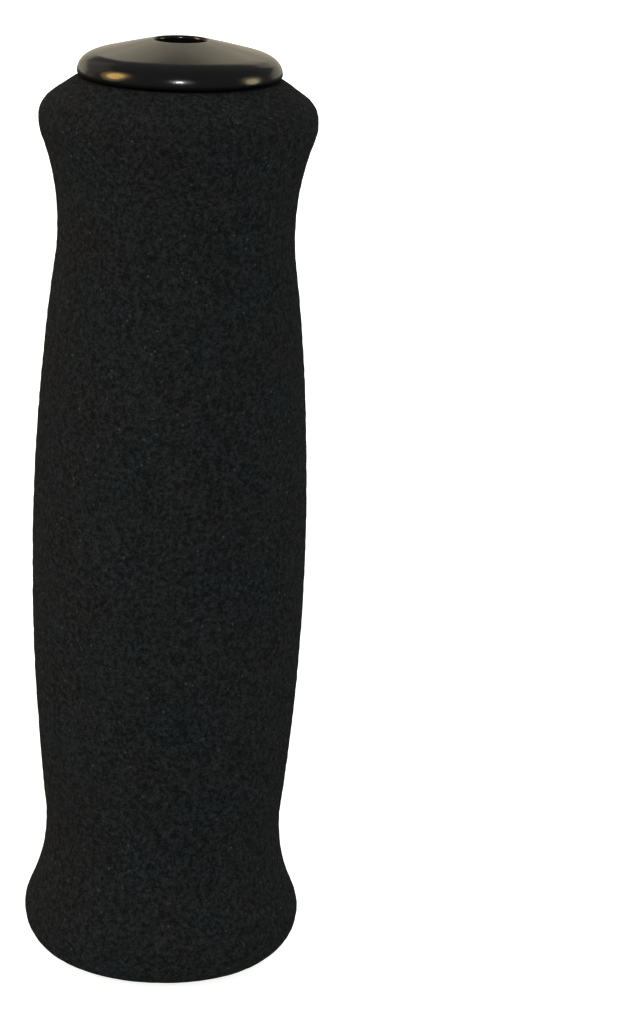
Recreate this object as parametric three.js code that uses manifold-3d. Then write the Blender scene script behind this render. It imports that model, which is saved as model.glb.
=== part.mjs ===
// A foam grip for the handlebar of a kick scooter, standing on its open end with +Z along the bar.
// The sleeve is one piece of closed-cell foam, ground to shape: a flange at each end, a waist inside
// each flange, and a long belly between them for the palm. A plug moulded in one piece closes the
// outer end. Its domed head has a hole in its crown, and its hollow shank has barbs that hold in the
// sleeve's bore and then in the tube. All sizes are in millimetres.

import * as THREE from "three";
import { mergeVertices } from "three/addons/utils/BufferGeometryUtils.js";
import Module from "manifold-3d";

// Sleeve: its length, its bore, and how far the bore's mouths are eased
const SLEEVE_LENGTH = 114;
const BORE_RADIUS = 10;
const MOUTH_EASE = 0.4;

// The flange that the sleeve stands on: its radius, and the rounds below and above its crest
const INNER_FLANGE_RADIUS = 17.82;
const INNER_END_ROUND = 6.14;
const INNER_FLANGE_ROUND = 6.51;

// The flange under the plug's head
const OUTER_FLANGE_RADIUS = 17.46;
const OUTER_END_ROUND = 4.08;
const OUTER_FLANGE_ROUND = 7.08;

// The belly's radius, its height and the curve along it, and the hollow curves of the two waists
const BELLY_RADIUS = 17.48;
const BELLY_HEIGHT = 55.9;
const BELLY_CURVE = 288;
const INNER_WAIST_CURVE = 22.05;
const OUTER_WAIST_CURVE = 32.8;

// Plug head: the gap under it, its widest radius, its top, and its curves from the underside up
const SEAT_GAP = 0.3;
const HEAD_RADIUS = 12.8;
const HEAD_HEIGHT = 5.7;
const HEAD_LOWER_ROUND = 1.3;
const HEAD_EDGE_ROUND = 2.45;
const HEAD_SHOULDER_ROUND = 9;
const DOME_CURVE = 100;

// The hole in the crown, the round on its edge, the dome's slope there, and the wall below that edge
const HOLE_RADIUS = 3.25;
const HOLE_ROUND = 0.35;
const CROWN_SLOPE = THREE.MathUtils.degToRad(12.6);
const CROWN_WALL = 2.5;

// Hollow shank, a little narrower towards its end, as the mould's draft leaves it
const SHANK_LENGTH = 20;
const SHANK_ROOT_RADIUS = 7.9;
const SHANK_END_RADIUS = 7.6;
const SHANK_LEAD_IN = 0.8;
const HOLLOW_TOP_RADIUS = 6;
const HOLLOW_END_RADIUS = 6.25;

// Barbs: each rises on a slope that faces the shank's end and falls off square behind its tip
const BARB_COUNT = 4;
const BARB_RADIUS = 9.7;
const BARB_PITCH = 3.6;
const BARB_FIRST_HEIGHT = 2.2;
const BARB_SLOPE_HEIGHT = 1.7;
const BARB_TIP_HEIGHT = 0.35;

// Two crossed slots split the shank's end into four fingers
const SLOT_WIDTH = 2.4;
const SLOT_DEPTH = 12.5;

const SLEEVE_SEGMENTS = 64;
const PLUG_SEGMENTS = 48;
const SLEEVE_ARC_DIVISIONS = 4;
const PLUG_ARC_DIVISIONS = 3;
const WELD_TOLERANCE = 0.00001;

const foamFinish = new THREE.MeshStandardMaterial({ color: 0x1d1e1f, roughness: 0.97, metalness: 0 });
const plugFinish = new THREE.MeshStandardMaterial({ color: 0x141312, roughness: 0.22, metalness: 0 });

const QUARTER_TURN = Math.PI / 2;

// A circle in the half plane that is turned round the axis: x is the radius and y the height
function circle(x, y, radius) {
  return { x, y, radius };
}

function angleTo(from, to) {
  return Math.atan2(to.y - from.y, to.x - from.x);
}

// The point at given distances from two centres, to the right of the way from the first to the second
function pointBeside(first, second, toFirst, toSecond) {
  const distance = Math.hypot(second.x - first.x, second.y - first.y);
  const along = (distance ** 2 + toFirst ** 2 - toSecond ** 2) / (2 * distance);
  const aside = Math.sqrt(toFirst ** 2 - along ** 2);
  const heading = angleTo(first, second);
  return {
    x: first.x + along * Math.cos(heading) + aside * Math.sin(heading),
    y: first.y + along * Math.sin(heading) - aside * Math.cos(heading),
  };
}

// The hollow curve of a given radius that touches two rounds from outside
function hollowBetween(lower, upper, radius) {
  const centre = pointBeside(lower, upper, lower.radius + radius, upper.radius + radius);
  return circle(centre.x, centre.y, radius);
}

// The round of a given radius that touches a smaller round inside it and a larger curve round it
function roundOver(smaller, larger, radius) {
  const centre = pointBeside(smaller, larger, radius - smaller.radius, larger.radius - radius);
  return circle(centre.x, centre.y, radius);
}

// The curve of a given radius that passes over a round, tangent to it where it has a given slope
function curveOver(round, slope, radius) {
  const reach = radius - round.radius;
  return circle(round.x - reach * Math.sin(slope), round.y - reach * Math.cos(slope), radius);
}

function addArc(path, round, start, end, clockwise = false) {
  path.absarc(round.x, round.y, round.radius, start, end, clockwise);
}

// Turns a closed outline round the axis, with that axis upright
function turned(path, segments, arcDivisions) {
  const outline = path.getPoints(arcDivisions);
  outline.push(outline[0].clone());
  return new THREE.LatheGeometry(outline, segments).rotateX(QUARTER_TURN);
}

// The sleeve's section is a chain of arcs, each tangent to the next, closed by the straight bore
function sleeveGeometry() {
  const innerEnd = circle(INNER_FLANGE_RADIUS - INNER_END_ROUND, INNER_END_ROUND, INNER_END_ROUND);
  const innerFlange = circle(INNER_FLANGE_RADIUS - INNER_FLANGE_ROUND, INNER_END_ROUND, INNER_FLANGE_ROUND);
  const belly = circle(BELLY_RADIUS - BELLY_CURVE, BELLY_HEIGHT, BELLY_CURVE);
  const outerCrest = SLEEVE_LENGTH - OUTER_END_ROUND;
  const outerFlange = circle(OUTER_FLANGE_RADIUS - OUTER_FLANGE_ROUND, outerCrest, OUTER_FLANGE_ROUND);
  const outerEnd = circle(OUTER_FLANGE_RADIUS - OUTER_END_ROUND, outerCrest, OUTER_END_ROUND);
  const innerWaist = hollowBetween(innerFlange, belly, INNER_WAIST_CURVE);
  const outerWaist = hollowBetween(belly, outerFlange, OUTER_WAIST_CURVE);

  const section = new THREE.Path();
  section.moveTo(BORE_RADIUS, MOUTH_EASE);
  section.lineTo(BORE_RADIUS + MOUTH_EASE, 0);
  section.lineTo(innerEnd.x, 0);
  addArc(section, innerEnd, -QUARTER_TURN, 0);
  addArc(section, innerFlange, 0, angleTo(innerFlange, innerWaist));
  addArc(section, innerWaist, angleTo(innerWaist, innerFlange), angleTo(innerWaist, belly), true);
  addArc(section, belly, angleTo(belly, innerWaist), angleTo(belly, outerWaist));
  addArc(section, outerWaist, angleTo(outerWaist, belly), angleTo(outerWaist, outerFlange), true);
  addArc(section, outerFlange, angleTo(outerFlange, outerWaist), 0);
  addArc(section, outerEnd, 0, QUARTER_TURN);
  section.lineTo(BORE_RADIUS + MOUTH_EASE, SLEEVE_LENGTH);
  section.lineTo(BORE_RADIUS, SLEEVE_LENGTH - MOUTH_EASE);
  return turned(section, SLEEVE_SEGMENTS, SLEEVE_ARC_DIVISIONS);
}

// The shank's outside from its end up to the head, with one barb after another
function addBarbs(section, shankEnd) {
  const radiusAt = (height) =>
    THREE.MathUtils.mapLinear(height, 0, SHANK_LENGTH, SHANK_END_RADIUS, SHANK_ROOT_RADIUS);
  for (let i = 0; i < BARB_COUNT; i++) {
    const foot = BARB_FIRST_HEIGHT + i * BARB_PITCH;
    const tip = foot + BARB_SLOPE_HEIGHT;
    const back = tip + BARB_TIP_HEIGHT;
    section.lineTo(radiusAt(foot), shankEnd + foot);
    section.lineTo(BARB_RADIUS, shankEnd + tip);
    section.lineTo(BARB_RADIUS, shankEnd + back);
    section.lineTo(radiusAt(back), shankEnd + back);
  }
}

// The plug's section runs from the shank's end up its outside, over the dome and down the hole
function plugBody() {
  const underside = SLEEVE_LENGTH + SEAT_GAP;
  const shankEnd = underside - SHANK_LENGTH;
  const top = underside + HEAD_HEIGHT;
  const widest = underside + HEAD_LOWER_ROUND;

  const lower = circle(HEAD_RADIUS - HEAD_LOWER_ROUND, widest, HEAD_LOWER_ROUND);
  const edge = circle(HEAD_RADIUS - HEAD_EDGE_ROUND, widest, HEAD_EDGE_ROUND);
  const holeEdge = circle(HOLE_RADIUS + HOLE_ROUND, top - HOLE_ROUND, HOLE_ROUND);
  const dome = curveOver(holeEdge, CROWN_SLOPE, DOME_CURVE);
  const shoulder = roundOver(edge, dome, HEAD_SHOULDER_ROUND);
  const ceiling = top - CROWN_WALL;

  const section = new THREE.Path();
  section.moveTo(HOLLOW_END_RADIUS, shankEnd);
  section.lineTo(SHANK_END_RADIUS - SHANK_LEAD_IN, shankEnd);
  section.lineTo(SHANK_END_RADIUS, shankEnd + SHANK_LEAD_IN);
  addBarbs(section, shankEnd);
  section.lineTo(SHANK_ROOT_RADIUS, underside);
  section.lineTo(lower.x, underside);
  addArc(section, lower, -QUARTER_TURN, 0);
  addArc(section, edge, 0, angleTo(shoulder, edge));
  addArc(section, shoulder, angleTo(shoulder, edge), angleTo(dome, shoulder));
  addArc(section, dome, angleTo(dome, shoulder), angleTo(dome, holeEdge));
  addArc(section, holeEdge, angleTo(dome, holeEdge), 2 * QUARTER_TURN);
  section.lineTo(HOLE_RADIUS, ceiling);
  section.lineTo(HOLLOW_TOP_RADIUS, ceiling);
  return { geometry: turned(section, PLUG_SEGMENTS, PLUG_ARC_DIVISIONS), shankEnd };
}

// A slot right across the shank, open at the shank's end and round at its top
function slotGeometry(shankEnd, turn) {
  const half = SLOT_WIDTH / 2;
  const reach = 2 * BARB_RADIUS + SLOT_WIDTH;
  const outline = new THREE.Shape();
  outline.moveTo(-half, -SLOT_WIDTH);
  outline.lineTo(half, -SLOT_WIDTH);
  outline.absarc(0, SLOT_DEPTH - half, half, 0, Math.PI, false);
  outline.closePath();
  const cutter = new THREE.ExtrudeGeometry(outline, {
    depth: reach,
    bevelEnabled: false,
    curveSegments: PLUG_ARC_DIVISIONS,
  });
  return cutter
    .translate(0, 0, -reach / 2)
    .rotateX(QUARTER_TURN)
    .rotateZ(turn)
    .translate(0, 0, shankEnd);
}

const wasm = await Module();
wasm.setup();

function toSolid(geometry) {
  const bare = geometry.clone();
  bare.deleteAttribute("normal");
  bare.deleteAttribute("uv");
  const welded = mergeVertices(bare, WELD_TOLERANCE);
  return new wasm.Manifold(
    new wasm.Mesh({
      numProp: 3,
      vertProperties: welded.attributes.position.array,
      triVerts: new Uint32Array(welded.index.array),
    }),
  );
}

function toGeometry(solid) {
  const mesh = solid.getMesh();
  const geometry = new THREE.BufferGeometry();
  geometry.setAttribute("position", new THREE.BufferAttribute(mesh.vertProperties, 3));
  geometry.setIndex(new THREE.BufferAttribute(mesh.triVerts, 1));
  geometry.computeVertexNormals();
  return geometry;
}

function plugGeometry() {
  const body = plugBody();
  let solid = toSolid(body.geometry);
  for (const turn of [0, QUARTER_TURN]) {
    solid = solid.subtract(toSolid(slotGeometry(body.shankEnd, turn)));
  }
  return toGeometry(solid);
}

const foamSleeve = new THREE.Mesh(sleeveGeometry(), foamFinish);
foamSleeve.name = "foam_sleeve";

const endPlug = new THREE.Mesh(plugGeometry(), plugFinish);
endPlug.name = "end_plug";

const grip = new THREE.Group();
grip.add(foamSleeve, endPlug);

export default grip;
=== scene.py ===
"""The looks of a foam grip for a scooter's handlebar: a ground foam sleeve, closed by a moulded plug.

Sizes are in metres, and the grip stands on its open end at the origin with +Z along the bar.
"""

import math
from collections import namedtuple

import bmesh
import bpy
from bpy.props import FloatProperty, FloatVectorProperty, IntProperty, PointerProperty
from bpy.types import Operator, Panel, PropertyGroup
from mathutils import Matrix, Vector, noise


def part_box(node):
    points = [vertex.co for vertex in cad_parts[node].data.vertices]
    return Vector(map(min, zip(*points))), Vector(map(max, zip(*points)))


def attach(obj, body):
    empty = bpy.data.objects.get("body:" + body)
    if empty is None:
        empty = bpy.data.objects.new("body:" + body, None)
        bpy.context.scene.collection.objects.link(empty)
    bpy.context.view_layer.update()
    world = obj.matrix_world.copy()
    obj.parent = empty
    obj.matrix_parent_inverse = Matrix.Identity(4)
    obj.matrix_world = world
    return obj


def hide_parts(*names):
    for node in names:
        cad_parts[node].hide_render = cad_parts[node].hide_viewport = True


bl_info = {
    "name": "Foam Handlebar Grip",
    "version": (1, 0, 0),
    "blender": (4, 5, 0),
    "location": "View3D > Sidebar > Grip",
    "description": "Builds a foam scooter grip with its end plug, a pale stage, lights and a camera",
    "category": "Add Mesh",
}

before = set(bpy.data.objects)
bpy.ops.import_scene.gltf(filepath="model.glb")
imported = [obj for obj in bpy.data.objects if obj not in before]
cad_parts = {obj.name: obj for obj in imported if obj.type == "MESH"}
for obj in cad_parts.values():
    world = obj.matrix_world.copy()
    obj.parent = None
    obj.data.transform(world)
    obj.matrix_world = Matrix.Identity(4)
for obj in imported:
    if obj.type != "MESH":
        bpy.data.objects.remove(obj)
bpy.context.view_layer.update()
sleeve_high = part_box("foam_sleeve")[1]
plug_low, plug_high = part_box("end_plug")

BODY = "root"
MM = 0.001
FULL_TURN = 2 * math.pi
QUARTER_TURN = math.pi / 2
WELD = 0.001 * MM
STRAIGHT_FACET = 1 * MM

# The foam's end rises in a low cone to the plug's rim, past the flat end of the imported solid
CONE_RISE = 1.2 * MM
seat_height = sleeve_high.z + CONE_RISE

# An arc's circle in the half plane that is turned round Z: x is the radius and z the height
Round = namedtuple("Round", "x z radius")


def linear_colour(hex_value):
    """An sRGB hex colour as linear red, green, blue and alpha."""
    channels = [int(hex_value[i : i + 2], 16) / 255 for i in (1, 3, 5)]
    linear = [c / 12.92 if c <= 0.04045 else ((c + 0.055) / 1.055) ** 2.4 for c in channels]
    return (*linear, 1.0)


def length(name, description, default):
    """A size in metres that a user can change."""
    return FloatProperty(
        name=name, description=description, default=default, min=0.0, unit="LENGTH", precision=5
    )


def share(name, description, default):
    """A value from 0 to 1 that a user can change."""
    return FloatProperty(
        name=name, description=description, default=default, min=0.0, max=1.0, subtype="FACTOR"
    )


def angle(name, description, degrees):
    """An angle that a user can change."""
    return FloatProperty(
        name=name, description=description, default=math.radians(degrees), subtype="ANGLE"
    )


def colour(name, description, hex_value):
    """A colour that a user can change."""
    return FloatVectorProperty(
        name=name,
        description=description,
        default=linear_colour(hex_value),
        size=4,
        min=0.0,
        max=1.0,
        subtype="COLOR",
    )


def count(name, description, default):
    """A whole number that a user can change."""
    return IntProperty(name=name, description=description, default=default, min=1)


class SleeveSettings(PropertyGroup):
    """Sizes and finish of the foam sleeve."""

    height: length("Length", "From the standing face to the face under the plug", seat_height)
    bore_radius: length("Bore radius", "Radius of the plain bore that takes the bar", 10 * MM)
    mouth_ease: length("Mouth ease", "How far the bore's mouths are eased", 0.4 * MM)
    inner_radius: length("Inner flange radius", "Flange that the sleeve stands on", sleeve_high.x)
    inner_end_round: length("Inner end round", "Round from the standing face to the crest", 6.14 * MM)
    inner_flange_round: length("Inner flange round", "Round from the crest to the waist", 6.51 * MM)
    inner_waist: length("Inner waist curve", "Hollow curve above the standing flange", 22.05 * MM)
    belly_radius: length("Belly radius", "Radius where the palm rests", 17.48 * MM)
    belly_height: length("Belly height", "Height of the widest place of the belly", 55.9 * MM)
    belly_curve: length("Belly curve", "Radius of the long curve along the belly", 288 * MM)
    outer_waist: length("Outer waist curve", "Hollow curve below the upper flange", 32.8 * MM)
    outer_radius: length("Outer flange radius", "Flange under the plug", 17.46 * MM)
    outer_height: length("Outer flange height", "Height of the flange's crest", 110.2 * MM)
    outer_flange_round: length("Outer flange round", "Round from the waist to the crest", 7.08 * MM)
    outer_end_round: length("Outer end round", "Round from the crest to the cone", 3.35 * MM)
    cone_curve: length("Cone curve", "Slight curve of the cone that rises to the plug", 60 * MM)
    seat_radius: length("Seat radius", "Radius of the flat face under the plug", 12.8 * MM)
    facet: length("Facet", "Spacing of the surface's points", 0.42 * MM)
    segments: count("Segments", "Points round the sleeve", 288)
    lump_width: length("Lump width", "Width of the soft unevenness that grinding leaves", 9 * MM)
    lump_depth: length("Lump depth", "Height of that unevenness", 0.06 * MM)
    grain_width: length("Grain width", "Width of the torn cells that roughen the outline", 1.0 * MM)
    grain_depth: length("Grain depth", "Height of that grain", 0.07 * MM)
    # Painted shade and light: the pits' black is painted shade in the opened cells, and the walls'
    # charcoal is painted light on the cell walls. Noise mixes the two at random.
    shaded_pit_tint: colour("Pits", "Black of the opened cells", "#141516")
    lit_wall_tint: colour("Cell walls", "Charcoal of the cell walls that catch the light", "#35383a")
    cool_tint: colour("Cool patches", "Faint cool patches in the foam", "#86a29d")
    warm_tint: colour("Warm patches", "Faint warm patches in the foam", "#a1958f")
    speck_tint: colour("Specks", "Sparse specks of pale dust", "#4c5050")
    roughness: share("Roughness", "Roughness of the ground skin", 0.95)


class PlugSettings(PropertyGroup):
    """Sizes and finish of the end plug."""

    head_radius: length("Head radius", "Widest radius of the domed head", plug_high.x)
    lower_round: length("Lower round", "Round from the head's underside to its edge", 0.4 * MM)
    edge_round: length("Edge round", "Round from the head's edge to its shoulder", 2.2 * MM)
    shoulder_round: length("Shoulder round", "Round from the shoulder to the dome", 4.9 * MM)
    dome_curve: length("Dome curve", "Radius of the curve along the dome", 200 * MM)
    seat_gap: length("Seat gap", "Gap between the sleeve and the head", 0.3 * MM)
    hole_radius: length("Hole radius", "Radius of the hole in the crown", 3.25 * MM)
    hole_round: length("Hole round", "Round on the hole's edge", 0.35 * MM)
    crown_slope: angle("Crown slope", "Slope of the dome at the hole's edge", 12.6)
    crown_wall: length("Crown wall", "From the hole's edge down to the hollow", 2.5 * MM)
    shank_root_radius: length("Shank root radius", "Shank's radius at the head", 7.9 * MM)
    shank_end_radius: length("Shank end radius", "Shank's radius at its end", 7.6 * MM)
    shank_lead_in: length("Shank lead-in", "Bevel at the shank's end", 0.8 * MM)
    hollow_top_radius: length("Hollow top radius", "Hollow's radius under the crown", 6.0 * MM)
    hollow_end_radius: length("Hollow end radius", "Hollow's radius at the shank's end", 6.25 * MM)
    barb_count: count("Barbs", "Barbs round the shank", 4)
    barb_radius: length("Barb radius", "Radius of a barb's tip", 9.7 * MM)
    barb_pitch: length("Barb pitch", "Height from one barb to the next", 3.6 * MM)
    barb_first: length("First barb", "Height of the first barb's foot above the shank's end", 2.2 * MM)
    barb_slope: length("Barb slope", "Height of a barb's slope", 1.7 * MM)
    barb_tip: length("Barb tip", "Height of a barb's tip", 0.35 * MM)
    slot_width: length("Slot width", "Width of the two crossed slots", 2.4 * MM)
    slot_depth: length("Slot depth", "Depth of the slots from the shank's end", 12.5 * MM)
    corner_round: length("Corner round", "Round on the moulded corners", 0.12 * MM)
    facet: length("Facet", "Spacing of points along the curves", 0.25 * MM)
    segments: count("Segments", "Points round the plug", 160)
    tint: colour("Plug", "Black of the moulded plastic", "#101110")
    roughness: share("Roughness", "Roughness of the polished surface", 0.16)


class StageSettings(PropertyGroup):
    """The floor, the backdrop and the camera."""

    floor_tint: colour("Floor", "Pale floor and backdrop", "#f4f4f2")
    floor_glow: share("Floor glow", "Light that comes through the paper from behind", 0.95)
    floor_width: length("Floor width", "Width of the floor", 5.0)
    floor_front: length("Floor front", "How far the floor reaches towards the camera", 2.0)
    floor_back: length("Floor back", "How far the floor reaches behind the grip", 1.4)
    sweep_radius: length("Sweep radius", "Radius of the curve up to the backdrop", 0.5)
    backdrop_height: length("Backdrop height", "Height of the backdrop above its curve", 1.2)
    camera_right: FloatProperty(
        name="Camera right",
        description="To the right of the grip's middle",
        default=0.0199,
        unit="LENGTH",
        precision=5,
    )
    camera_back: length("Camera distance", "In front of the grip", 0.480)
    camera_height: length("Camera height", "Above the floor", 0.1883)
    camera_pitch: angle("Camera pitch", "How far the camera looks down", 14.97)
    camera_yaw: angle("Camera yaw", "How far the camera looks to the left", 0.23)
    camera_roll: angle("Camera roll", "How far level lines fall to the right", 1.86)
    focal_pixels: FloatProperty(
        name="Focal length in pixels", description="Of the tall side's 1024 pixels", default=3886.0
    )


def angle_to(start, end):
    """Direction from one circle's centre to another's, anticlockwise from the radius."""
    return math.atan2(end.z - start.z, end.x - start.x)


def round_beside(first, second, to_first, to_second, radius):
    """A circle whose centre has given distances to two others, right of the way between them."""
    distance = math.hypot(second.x - first.x, second.z - first.z)
    along = (distance**2 + to_first**2 - to_second**2) / (2 * distance)
    aside = math.sqrt(to_first**2 - along**2)
    heading = angle_to(first, second)
    return Round(
        first.x + along * math.cos(heading) + aside * math.sin(heading),
        first.z + along * math.sin(heading) - aside * math.cos(heading),
        radius,
    )


def hollow_between(lower, upper, radius):
    """The hollow curve that touches two rounds from outside."""
    return round_beside(lower, upper, lower.radius + radius, upper.radius + radius, radius)


def round_over(smaller, larger, radius):
    """The round that touches a smaller round inside it and a larger curve round it."""
    return round_beside(smaller, larger, radius - smaller.radius, larger.radius - radius, radius)


def curve_over(round_below, slope, radius):
    """The curve that passes over a round, tangent to it where it has a given slope."""
    reach = radius - round_below.radius
    return Round(
        round_below.x - reach * math.sin(slope), round_below.z - reach * math.cos(slope), radius
    )


def add_line(bm, last, radius, height, facet=STRAIGHT_FACET):
    """Carries the section on in a straight line, and returns its new end."""
    start = last.co.copy()
    end = Vector((radius, 0.0, height))
    steps = math.ceil((end - start).length / facet)
    for step in range(1, steps + 1):
        last = bmesh.ops.extrude_vert_indiv(bm, verts=[last])["verts"][0]
        last.co = start.lerp(end, step / steps)
    return last


def add_arc(bm, last, centre, end_angle, facet, clockwise=False):
    """Carries the section on round a circle up to an angle, and returns its new end."""
    start_angle = math.atan2(last.co.z - centre.z, last.co.x - centre.x)
    sweep = (end_angle - start_angle) % FULL_TURN
    if clockwise:
        sweep -= FULL_TURN
    spun = bmesh.ops.spin(
        bm,
        geom=[last],
        cent=(centre.x, 0.0, centre.z),
        axis=(0.0, -1.0, 0.0),
        angle=sweep,
        steps=math.ceil(abs(sweep) * centre.radius / facet),
        use_merge=False,
    )
    return next(item for item in spun["geom_last"] if isinstance(item, bmesh.types.BMVert))


def close_section(bm, last, first, facet=STRAIGHT_FACET):
    """Joins the section's end to its start."""
    last = add_line(bm, last, first.co.x, first.co.z, facet)
    bmesh.ops.remove_doubles(bm, verts=[last, first], dist=WELD)


def round_corners(bm, radius):
    """Rounds the section's sharp corners, as a mould does. Points along curves are left alone."""
    sharp_turn = math.radians(25)
    corners = []
    for vert in bm.verts:
        before, after = (edge.other_vert(vert).co - vert.co for edge in vert.link_edges)
        if math.pi - before.angle(after) > sharp_turn:
            corners.append(vert)
    bmesh.ops.bevel(
        bm,
        geom=corners,
        offset=radius,
        offset_type="OFFSET",
        segments=3,
        profile=0.5,
        affect="VERTICES",
        material=-1,
    )


def turn_section(bm, segments):
    """Turns the closed section all the way round Z into a closed skin that faces outwards."""
    bmesh.ops.spin(
        bm,
        geom=bm.verts[:] + bm.edges[:],
        cent=(0.0, 0.0, 0.0),
        axis=(0.0, 0.0, 1.0),
        angle=FULL_TURN,
        steps=segments,
        use_merge=True,
    )
    bmesh.ops.remove_doubles(bm, verts=bm.verts[:], dist=WELD)
    bmesh.ops.recalc_face_normals(bm, faces=bm.faces[:])


def add_piece(bm, name):
    """Makes an object of the finished bmesh, smooth and at the origin."""
    for face in bm.faces:
        face.smooth = True
    mesh = bpy.data.meshes.new(name)
    bm.to_mesh(mesh)
    bm.free()
    piece = bpy.data.objects.new(name, mesh)
    bpy.context.scene.collection.objects.link(piece)
    return piece


def add_node(tree, kind, inputs, **settings):
    """Adds one shader node. An input is a value, or another node's output to link."""
    node = tree.nodes.new(kind)
    for name, value in settings.items():
        setattr(node, name, value)
    for name, value in inputs.items():
        if isinstance(value, bpy.types.NodeSocket):
            tree.links.new(value, node.inputs[name])
        else:
            node.inputs[name].default_value = value
    return node


def new_material(name):
    """An empty node material, with its tree."""
    material = bpy.data.materials.new(name)
    material.use_nodes = True
    material.node_tree.nodes.clear()
    return material, material.node_tree


def ground_foam_material(settings):
    """Closed-cell rubber foam, ground to shape: almost black and dead matt. Painted shade in the
    opened cells and painted light on their walls are mixed at random, with a few specks of dust."""
    # The real cells are about 0.2 mm wide, too fine to show, so they and their mottling are coarser
    mottle_width = 0.6 * MM
    cell_width = 0.3 * MM
    cell_depth = 0.12 * MM
    patch_width = 7 * MM
    patch_strength = 0.5
    speck_spacing = 1.0 * MM
    speck_radius = 0.2 * MM
    speck_share = 0.3

    material, tree = new_material("ground_closed_cell_foam")
    place = add_node(tree, "ShaderNodeTexCoord", {}).outputs["Object"]

    # Painted shade and light of the cell relief: noise mixes the black of shaded pits with the
    # charcoal of lit cell walls, at random places
    mottle = add_node(
        tree,
        "ShaderNodeTexNoise",
        {"Vector": place, "Scale": 1 / mottle_width, "Detail": 3.0, "Roughness": 0.95},
    )
    lit_wall_share = add_node(
        tree,
        "ShaderNodeMapRange",
        {"Value": mottle.outputs["Fac"], "From Min": 0.41, "From Max": 0.68},
    )
    painted_cell_shading = add_node(
        tree,
        "ShaderNodeMix",
        {
            "Factor": lit_wall_share.outputs["Result"],
            "A": settings.shaded_pit_tint,
            "B": settings.lit_wall_tint,
        },
        data_type="RGBA",
    )

    patches = add_node(
        tree, "ShaderNodeTexNoise", {"Vector": place, "Scale": 1 / patch_width, "Detail": 3.0}
    )
    warm_share = add_node(
        tree,
        "ShaderNodeMapRange",
        {"Value": patches.outputs["Fac"], "From Min": 0.35, "From Max": 0.65},
    )
    patch_tint = add_node(
        tree,
        "ShaderNodeMix",
        {
            "Factor": warm_share.outputs["Result"],
            "A": settings.cool_tint,
            "B": settings.warm_tint,
        },
        data_type="RGBA",
    )
    tinted = add_node(
        tree,
        "ShaderNodeMix",
        {
            "Factor": patch_strength,
            "A": painted_cell_shading.outputs["Result"],
            "B": patch_tint.outputs["Result"],
        },
        data_type="RGBA",
        blend_type="OVERLAY",
    )

    specks = add_node(
        tree, "ShaderNodeTexVoronoi", {"Vector": place, "Scale": 1 / speck_spacing}
    )
    near_speck = add_node(
        tree,
        "ShaderNodeMapRange",
        {
            "Value": specks.outputs["Distance"],
            "From Min": 0.0,
            "From Max": speck_radius / speck_spacing,
            "To Min": 1.0,
            "To Max": 0.0,
        },
    )
    picked = add_node(
        tree,
        "ShaderNodeMath",
        {0: specks.outputs["Color"], 1: speck_share},
        operation="LESS_THAN",
    )
    speck_amount = add_node(
        tree,
        "ShaderNodeMath",
        {0: near_speck.outputs["Result"], 1: picked.outputs["Value"]},
        operation="MULTIPLY",
    )
    speckled = add_node(
        tree,
        "ShaderNodeMix",
        {
            "Factor": speck_amount.outputs["Value"],
            "A": tinted.outputs["Result"],
            "B": settings.speck_tint,
        },
        data_type="RGBA",
    )

    cells = add_node(tree, "ShaderNodeTexVoronoi", {"Vector": place, "Scale": 1 / cell_width})
    height = add_node(
        tree,
        "ShaderNodeMath",
        {0: cells.outputs["Distance"], 1: mottle.outputs["Fac"]},
        operation="ADD",
    )
    bump = add_node(
        tree,
        "ShaderNodeBump",
        {"Height": height.outputs["Value"], "Strength": 1.0, "Distance": cell_depth},
    )
    shader = add_node(
        tree,
        "ShaderNodeBsdfPrincipled",
        {
            "Base Color": speckled.outputs["Result"],
            "Roughness": settings.roughness,
            "Specular IOR Level": 0.08,
            "Normal": bump.outputs["Normal"],
        },
    )
    add_node(tree, "ShaderNodeOutputMaterial", {"Surface": shader.outputs["BSDF"]})
    return material


def moulded_plastic_material(settings):
    """Injection-moulded black plastic from a polished mould: a deep gloss, a little softened by
    handling, with the faintest waviness where the plastic shrank."""
    wave_width = 3.0 * MM
    wave_depth = 0.008 * MM
    smudge_width = 2.0 * MM
    clean_gloss = settings.roughness - 0.02
    smudged_gloss = settings.roughness + 0.03

    material, tree = new_material("moulded_black_plastic")
    place = add_node(tree, "ShaderNodeTexCoord", {}).outputs["Object"]
    smudges = add_node(
        tree, "ShaderNodeTexNoise", {"Vector": place, "Scale": 1 / smudge_width, "Detail": 4.0}
    )
    roughness = add_node(
        tree,
        "ShaderNodeMapRange",
        {
            "Value": smudges.outputs["Fac"],
            "From Min": 0.3,
            "From Max": 0.7,
            "To Min": clean_gloss,
            "To Max": smudged_gloss,
        },
    )
    waves = add_node(
        tree, "ShaderNodeTexNoise", {"Vector": place, "Scale": 1 / wave_width, "Detail": 1.0}
    )
    bump = add_node(
        tree,
        "ShaderNodeBump",
        {"Height": waves.outputs["Fac"], "Strength": 1.0, "Distance": wave_depth},
    )
    shader = add_node(
        tree,
        "ShaderNodeBsdfPrincipled",
        {
            "Base Color": settings.tint,
            "Roughness": roughness.outputs["Result"],
            "IOR": 1.5,
            "Normal": bump.outputs["Normal"],
        },
    )
    add_node(tree, "ShaderNodeOutputMaterial", {"Surface": shader.outputs["BSDF"]})
    return material


def matt_paper_material(settings):
    """Seamless studio paper: pale and matt, lit from behind so that hardly a shadow shows on it."""
    material, tree = new_material("studio_paper")
    shader = add_node(
        tree,
        "ShaderNodeBsdfPrincipled",
        {
            "Base Color": settings.floor_tint,
            "Roughness": 0.9,
            "Emission Color": settings.floor_tint,
            "Emission Strength": settings.floor_glow,
        },
    )
    add_node(tree, "ShaderNodeOutputMaterial", {"Surface": shader.outputs["BSDF"]})
    return material


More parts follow.
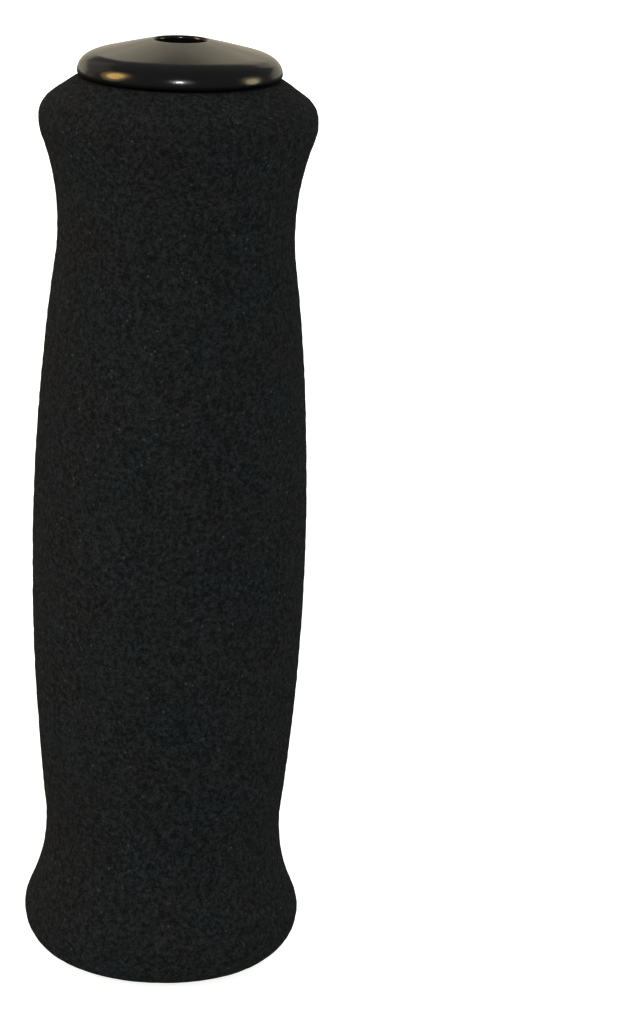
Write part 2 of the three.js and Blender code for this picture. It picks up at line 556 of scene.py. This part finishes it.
def draw_sleeve_section(bm, s):
    """The sleeve's section: a chain of arcs, each tangent to the next, and the straight bore."""
    inner_end = Round(s.inner_radius - s.inner_end_round, s.inner_end_round, s.inner_end_round)
    inner_flange = Round(
        s.inner_radius - s.inner_flange_round, s.inner_end_round, s.inner_flange_round
    )
    belly = Round(s.belly_radius - s.belly_curve, s.belly_height, s.belly_curve)
    outer_flange = Round(
        s.outer_radius - s.outer_flange_round, s.outer_height, s.outer_flange_round
    )
    outer_end = Round(s.outer_radius - s.outer_end_round, s.outer_height, s.outer_end_round)
    seat_edge = Round(s.seat_radius, s.height, 0.0)
    cone_reach = s.cone_curve - s.outer_end_round
    cone = round_beside(seat_edge, outer_end, s.cone_curve, cone_reach, s.cone_curve)
    inner_waist = hollow_between(inner_flange, belly, s.inner_waist)
    outer_waist = hollow_between(belly, outer_flange, s.outer_waist)
    # The bore is hidden and straight, so its points stand wider apart
    bore_facet = 8 * s.facet

    first = bm.verts.new((s.bore_radius, 0.0, s.mouth_ease))
    last = add_line(bm, first, s.bore_radius + s.mouth_ease, 0.0, s.facet)
    last = add_line(bm, last, inner_end.x, 0.0, s.facet)
    last = add_arc(bm, last, inner_end, 0.0, s.facet)
    last = add_arc(bm, last, inner_flange, angle_to(inner_flange, inner_waist), s.facet)
    last = add_arc(bm, last, inner_waist, angle_to(inner_waist, belly), s.facet, clockwise=True)
    last = add_arc(bm, last, belly, angle_to(belly, outer_waist), s.facet)
    last = add_arc(
        bm, last, outer_waist, angle_to(outer_waist, outer_flange), s.facet, clockwise=True
    )
    last = add_arc(bm, last, outer_flange, 0.0, s.facet)
    last = add_arc(bm, last, outer_end, angle_to(cone, outer_end), s.facet)
    last = add_arc(bm, last, cone, angle_to(cone, seat_edge), s.facet)
    last = add_line(bm, last, s.bore_radius + s.mouth_ease, s.height, s.facet)
    last = add_line(bm, last, s.bore_radius, s.height - s.mouth_ease, s.facet)
    close_section(bm, last, first, bore_facet)


def roughen_skin(bm, s):
    """Moves the ground skin in and out: soft unevenness, and grain that shows at the outline. The
    bore and the two flat end faces stay true."""
    bm.normal_update()
    skin_radius = s.bore_radius + 2 * MM
    fade_height = 1.5 * MM
    for vert in bm.verts:
        radius = math.hypot(vert.co.x, vert.co.y)
        if radius < skin_radius:
            continue
        from_face = min(vert.co.z, s.height - vert.co.z)
        fade = min(1.0, from_face / fade_height)
        lump = noise.noise(vert.co / s.lump_width) * s.lump_depth
        grain = noise.noise(vert.co / s.grain_width) * s.grain_depth
        vert.co += vert.normal * fade * (lump + grain)


class GRIP_OT_foam_sleeve(Operator):
    """Build the ground foam sleeve with its flanges, waists, belly and bore"""

    bl_idname = "grip.foam_sleeve"
    bl_label = "Foam Sleeve"

    def execute(self, context):
        settings = context.scene.grip_sleeve
        bm = bmesh.new()
        draw_sleeve_section(bm, settings)
        turn_section(bm, settings.segments)
        roughen_skin(bm, settings)
        sleeve = add_piece(bm, "ground_foam_sleeve")
        sleeve.data.materials.append(ground_foam_material(settings))
        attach(sleeve, BODY)
        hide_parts("foam_sleeve")
        return {"FINISHED"}


def draw_barbs(bm, last, s, shank_end):
    """Carries the section up the shank's outside, over one barb after another."""
    shank_height = seat_height + s.seat_gap - shank_end
    draft = (s.shank_root_radius - s.shank_end_radius) / shank_height
    for i in range(s.barb_count):
        foot = s.barb_first + i * s.barb_pitch
        tip = foot + s.barb_slope
        back = tip + s.barb_tip
        last = add_line(bm, last, s.shank_end_radius + draft * foot, shank_end + foot)
        last = add_line(bm, last, s.barb_radius, shank_end + tip)
        last = add_line(bm, last, s.barb_radius, shank_end + back)
        last = add_line(bm, last, s.shank_end_radius + draft * back, shank_end + back)
    return last


def draw_plug_section(bm, s):
    """The plug's section, from the shank's end up its outside, over the dome and down the hole."""
    shank_end = plug_low.z
    underside = seat_height + s.seat_gap
    widest = underside + s.lower_round
    lower = Round(s.head_radius - s.lower_round, widest, s.lower_round)
    edge = Round(s.head_radius - s.edge_round, widest, s.edge_round)
    hole_edge = Round(s.hole_radius + s.hole_round, plug_high.z - s.hole_round, s.hole_round)
    dome = curve_over(hole_edge, s.crown_slope, s.dome_curve)
    shoulder = round_over(edge, dome, s.shoulder_round)
    ceiling = plug_high.z - s.crown_wall
    # The two smallest rounds take closer points
    small_facet = s.facet / 4

    first = bm.verts.new((s.hollow_end_radius, 0.0, shank_end))
    last = add_line(bm, first, s.shank_end_radius - s.shank_lead_in, shank_end)
    last = add_line(bm, last, s.shank_end_radius, shank_end + s.shank_lead_in)
    last = draw_barbs(bm, last, s, shank_end)
    last = add_line(bm, last, s.shank_root_radius, underside)
    last = add_line(bm, last, lower.x, underside)
    last = add_arc(bm, last, lower, 0.0, small_facet)
    last = add_arc(bm, last, edge, angle_to(shoulder, edge), s.facet)
    last = add_arc(bm, last, shoulder, angle_to(dome, shoulder), s.facet)
    last = add_arc(bm, last, dome, angle_to(dome, hole_edge), s.facet)
    last = add_arc(bm, last, hole_edge, math.pi, small_facet)
    last = add_line(bm, last, s.hole_radius, ceiling)
    last = add_line(bm, last, s.hollow_top_radius, ceiling)
    close_section(bm, last, first)
    round_corners(bm, s.corner_round)


def cut_slots(plug, s):
    """Cuts two crossed slots into the shank's end, which leave four springy fingers."""
    half = s.slot_width / 2
    reach = 2 * s.barb_radius + s.slot_width
    for turn in (0.0, QUARTER_TURN):
        bm = bmesh.new()
        last = bm.verts.new((half, 0.0, -s.slot_width))
        first = bm.verts.new((-half, 0.0, -s.slot_width))
        bm.edges.new((first, last))
        last = add_line(bm, last, half, s.slot_depth - half, reach)
        last = add_arc(bm, last, Round(0.0, s.slot_depth - half, half), math.pi, s.facet)
        close_section(bm, last, first, reach)
        bmesh.ops.contextual_create(bm, geom=bm.edges[:])
        grown = bmesh.ops.extrude_face_region(bm, geom=bm.faces[:])
        grown_verts = [item for item in grown["geom"] if isinstance(item, bmesh.types.BMVert)]
        bmesh.ops.translate(bm, verts=grown_verts, vec=(0.0, reach, 0.0))
        bmesh.ops.translate(bm, verts=bm.verts[:], vec=(0.0, -reach / 2, plug_low.z))
        bmesh.ops.rotate(bm, verts=bm.verts[:], matrix=Matrix.Rotation(turn, 3, "Z"))
        bmesh.ops.recalc_face_normals(bm, faces=bm.faces[:])
        cutter = add_piece(bm, "slot_cutter")
        boolean = plug.modifiers.new("slot", "BOOLEAN")
        boolean.operation = "DIFFERENCE"
        boolean.solver = "EXACT"
        boolean.object = cutter
        cut_mesh = bpy.data.meshes.new_from_object(
            plug.evaluated_get(bpy.context.evaluated_depsgraph_get())
        )
        plug.modifiers.clear()
        plug.data = cut_mesh
        bpy.data.objects.remove(cutter)


class GRIP_OT_end_plug(Operator):
    """Build the moulded plug: domed head with a hole in its crown, and barbed, slotted shank"""

    bl_idname = "grip.end_plug"
    bl_label = "End Plug"

    def execute(self, context):
        settings = context.scene.grip_plug
        bm = bmesh.new()
        draw_plug_section(bm, settings)
        turn_section(bm, settings.segments)
        plug = add_piece(bm, "moulded_end_plug")
        cut_slots(plug, settings)
        plug.data.materials.clear()
        plug.data.materials.append(moulded_plastic_material(settings))
        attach(plug, BODY)
        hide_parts("end_plug")
        return {"FINISHED"}


def add_backdrop(settings):
    """A floor that curves up into a backdrop."""
    sweep_steps = 24
    bm = bmesh.new()
    left = bm.verts.new((-settings.floor_width / 2, -settings.floor_front, 0.0))
    right = bm.verts.new((settings.floor_width / 2, -settings.floor_front, 0.0))
    edge = bm.edges.new((left, right))
    floor = bmesh.ops.extrude_edge_only(bm, edges=[edge])["geom"]
    floor_verts = [item for item in floor if isinstance(item, bmesh.types.BMVert)]
    floor_depth = settings.floor_front + settings.floor_back
    bmesh.ops.translate(bm, verts=floor_verts, vec=(0.0, floor_depth, 0.0))
    floor_edge = [item for item in floor if isinstance(item, bmesh.types.BMEdge)]
    sweep = bmesh.ops.spin(
        bm,
        geom=floor_verts + floor_edge,
        cent=(0.0, settings.floor_back, settings.sweep_radius),
        axis=(1.0, 0.0, 0.0),
        angle=QUARTER_TURN,
        steps=sweep_steps,
        use_merge=False,
    )["geom_last"]
    sweep_edge = [item for item in sweep if isinstance(item, bmesh.types.BMEdge)]
    wall = bmesh.ops.extrude_edge_only(bm, edges=sweep_edge)["geom"]
    wall_verts = [item for item in wall if isinstance(item, bmesh.types.BMVert)]
    bmesh.ops.translate(bm, verts=wall_verts, vec=(0.0, 0.0, settings.backdrop_height))
    bmesh.ops.recalc_face_normals(bm, faces=bm.faces[:])
    backdrop = add_piece(bm, "paper_backdrop")
    backdrop.data.materials.append(matt_paper_material(settings))
    # The room's light comes through the paper, which casts nothing on the grip
    backdrop.visible_diffuse = False
    backdrop.visible_glossy = False
    backdrop.visible_shadow = False


def light_place(azimuth, elevation, distance):
    """A place round the plug's head: azimuth is to the right of the camera's side, in degrees."""
    turn = math.radians(azimuth)
    rise = math.radians(elevation)
    way = Vector(
        (math.sin(turn) * math.cos(rise), -math.cos(turn) * math.cos(rise), math.sin(rise))
    )
    return Vector((0.0, 0.0, plug_high.z)) + way * distance


def add_lamp(name, place, size, power, tint, shape="RECTANGLE", mirrored=True):
    """A flat lamp that faces the grip. It either shows only in reflections, or lights the grip and
    shows in none."""
    lamp = bpy.data.lights.new(name, "AREA")
    lamp.shape = shape
    lamp.size, lamp.size_y = size
    lamp.energy = power
    lamp.color = linear_colour(tint)[:3]
    holder = bpy.data.objects.new(name, lamp)
    holder.location = place
    towards = Vector((0.0, 0.0, plug_high.z)) - place
    holder.rotation_euler = towards.to_track_quat("-Z", "Y").to_euler()
    holder.visible_glossy = mirrored
    holder.visible_diffuse = not mirrored
    bpy.context.scene.collection.objects.link(holder)


def add_lights():
    """Soft light from above and the left, and what only the glossy head mirrors: pale walls behind
    the grip and at its left, and three lamps, each with the halo that its shade spreads."""
    white = "#ffffff"
    amber = "#ffc870"
    pale_amber = "#ffdd9a"
    cream = "#fff5c1"
    wall_paint = "#fff0d0"
    wall_distance = 1.0
    low_wall_height = 0.255
    high_wall_height = 0.65
    right_wall_side = 0.425
    lamp_distance = 0.8

    overhead = Vector((-0.3, 0.3, 1.6))
    side_fill = Vector((-1.4, -1.2, 0.9))
    add_lamp("overhead", overhead, (2.0, 2.0), 3.5, white, mirrored=False)
    add_lamp("side_fill", side_fill, (1.6, 1.2), 5.0, white, mirrored=False)

    low_wall = Vector((0.0, wall_distance, low_wall_height))
    high_wall = Vector((0.0, wall_distance, high_wall_height))
    right_wall = Vector((right_wall_side, wall_distance, high_wall_height))
    left_wall = light_place(-128, 20, wall_distance)
    add_lamp("low_wall", low_wall, (2.6, 0.45), 1.9, wall_paint)
    add_lamp("high_wall", high_wall, (0.54, 0.34), 0.4, wall_paint)
    add_lamp("right_wall", right_wall, (0.31, 0.34), 0.14, wall_paint)
    add_lamp("left_wall", left_wall, (0.76, 0.9), 0.43, wall_paint)

    # Each lamp's azimuth, elevation, width and height, power and tint
    lamps = {
        "lamp_left": (-79, 23, (0.30, 0.44), 3.2, amber),
        "halo_left": (-81, 22, (0.50, 0.74), 1.5, pale_amber),
        "lamp_right": (91, 8, (0.26, 0.36), 0.95, cream),
        "halo_right": (92, 12, (0.40, 0.56), 0.5, cream),
        "lamp_front": (2, 25, (0.09, 0.13), 1.9, white),
        "halo_front": (4, 26, (0.34, 0.46), 0.31, white),
    }
    for name, (azimuth, elevation, size, power, tint) in lamps.items():
        place = light_place(azimuth, elevation, lamp_distance)
        add_lamp(name, place, size, power, tint, shape="ELLIPSE")


def add_surroundings():
    """A plain white room that lights the grip evenly. The glossy plug mirrors it as a dim one, which
    is darkest below the level of the floor."""
    room_light = 0.64
    mirrored_below = 0.02
    mirrored_above = 0.13
    white = linear_colour("#ffffff")
    world = bpy.data.worlds.new("studio_room")
    world.use_nodes = True
    tree = world.node_tree
    tree.nodes.clear()
    way = add_node(tree, "ShaderNodeTexCoord", {}).outputs["Generated"]
    height = add_node(tree, "ShaderNodeSeparateXYZ", {"Vector": way}).outputs["Z"]
    mirrored = add_node(
        tree,
        "ShaderNodeMapRange",
        {
            "Value": height,
            "From Min": -0.2,
            "From Max": -0.05,
            "To Min": mirrored_below,
            "To Max": mirrored_above,
        },
    )
    rays = add_node(tree, "ShaderNodeLightPath", {})
    even = add_node(tree, "ShaderNodeBackground", {"Color": white, "Strength": room_light})
    dim = add_node(
        tree, "ShaderNodeBackground", {"Color": white, "Strength": mirrored.outputs["Result"]}
    )
    pale = add_node(tree, "ShaderNodeBackground", {"Color": white, "Strength": 1.0})
    lit = add_node(
        tree,
        "ShaderNodeMixShader",
        {
            0: rays.outputs["Is Glossy Ray"],
            1: even.outputs["Background"],
            2: dim.outputs["Background"],
        },
    )
    seen = add_node(
        tree,
        "ShaderNodeMixShader",
        {
            0: rays.outputs["Is Camera Ray"],
            1: lit.outputs["Shader"],
            2: pale.outputs["Background"],
        },
    )
    add_node(tree, "ShaderNodeOutputWorld", {"Surface": seen.outputs["Shader"]})
    bpy.context.scene.world = world


def add_camera(settings):
    """The photograph's camera: a long lens, looking down on the grip, a little rolled."""
    sensor = 36.0
    tall_side = 1024
    pitch, yaw, roll = settings.camera_pitch, settings.camera_yaw, settings.camera_roll
    turn = Matrix.Rotation(yaw, 4, "Z")
    tip = Matrix.Rotation(QUARTER_TURN - pitch, 4, "X")
    lean = Matrix.Rotation(roll, 4, "Z")
    data = bpy.data.cameras.new("camera")
    data.sensor_fit = "AUTO"
    data.sensor_width = sensor
    data.lens = settings.focal_pixels * sensor / tall_side
    data.clip_start = 0.01
    data.clip_end = 20.0
    camera = bpy.data.objects.new("camera", data)
    place = Vector((settings.camera_right, -settings.camera_back, settings.camera_height))
    camera.matrix_world = Matrix.Translation(place) @ turn @ tip @ lean
    bpy.context.scene.collection.objects.link(camera)
    bpy.context.scene.camera = camera


class GRIP_OT_stage(Operator):
    """Build the pale floor and backdrop, the lights and the camera"""

    bl_idname = "grip.stage"
    bl_label = "Stage"

    def execute(self, context):
        settings = context.scene.grip_stage
        add_backdrop(settings)
        add_lights()
        add_surroundings()
        add_camera(settings)
        context.scene.view_settings.view_transform = "Standard"
        return {"FINISHED"}


class GRIP_PT_panel(Panel):
    """Lists the grip's pieces and settings"""

    bl_idname = "GRIP_PT_panel"
    bl_label = "Foam Handlebar Grip"
    bl_space_type = "VIEW_3D"
    bl_region_type = "UI"
    bl_category = "Grip"

    def draw(self, context):
        scene = context.scene
        groups = (
            (GRIP_OT_foam_sleeve, scene.grip_sleeve),
            (GRIP_OT_end_plug, scene.grip_plug),
            (GRIP_OT_stage, scene.grip_stage),
        )
        for operator, settings in groups:
            box = self.layout.box()
            box.operator(operator.bl_idname)
            for name in settings.__annotations__:
                box.prop(settings, name)


CLASSES = (
    SleeveSettings,
    PlugSettings,
    StageSettings,
    GRIP_OT_foam_sleeve,
    GRIP_OT_end_plug,
    GRIP_OT_stage,
    GRIP_PT_panel,
)


def register():
    for item in CLASSES:
        bpy.utils.register_class(item)
    bpy.types.Scene.grip_sleeve = PointerProperty(type=SleeveSettings)
    bpy.types.Scene.grip_plug = PointerProperty(type=PlugSettings)
    bpy.types.Scene.grip_stage = PointerProperty(type=StageSettings)


def unregister():
    del bpy.types.Scene.grip_stage
    del bpy.types.Scene.grip_plug
    del bpy.types.Scene.grip_sleeve
    for item in reversed(CLASSES):
        bpy.utils.unregister_class(item)


def main():
    register()
    bpy.ops.grip.foam_sleeve()
    bpy.ops.grip.end_plug()
    bpy.ops.grip.stage()


if __name__ == "__main__":
    main()
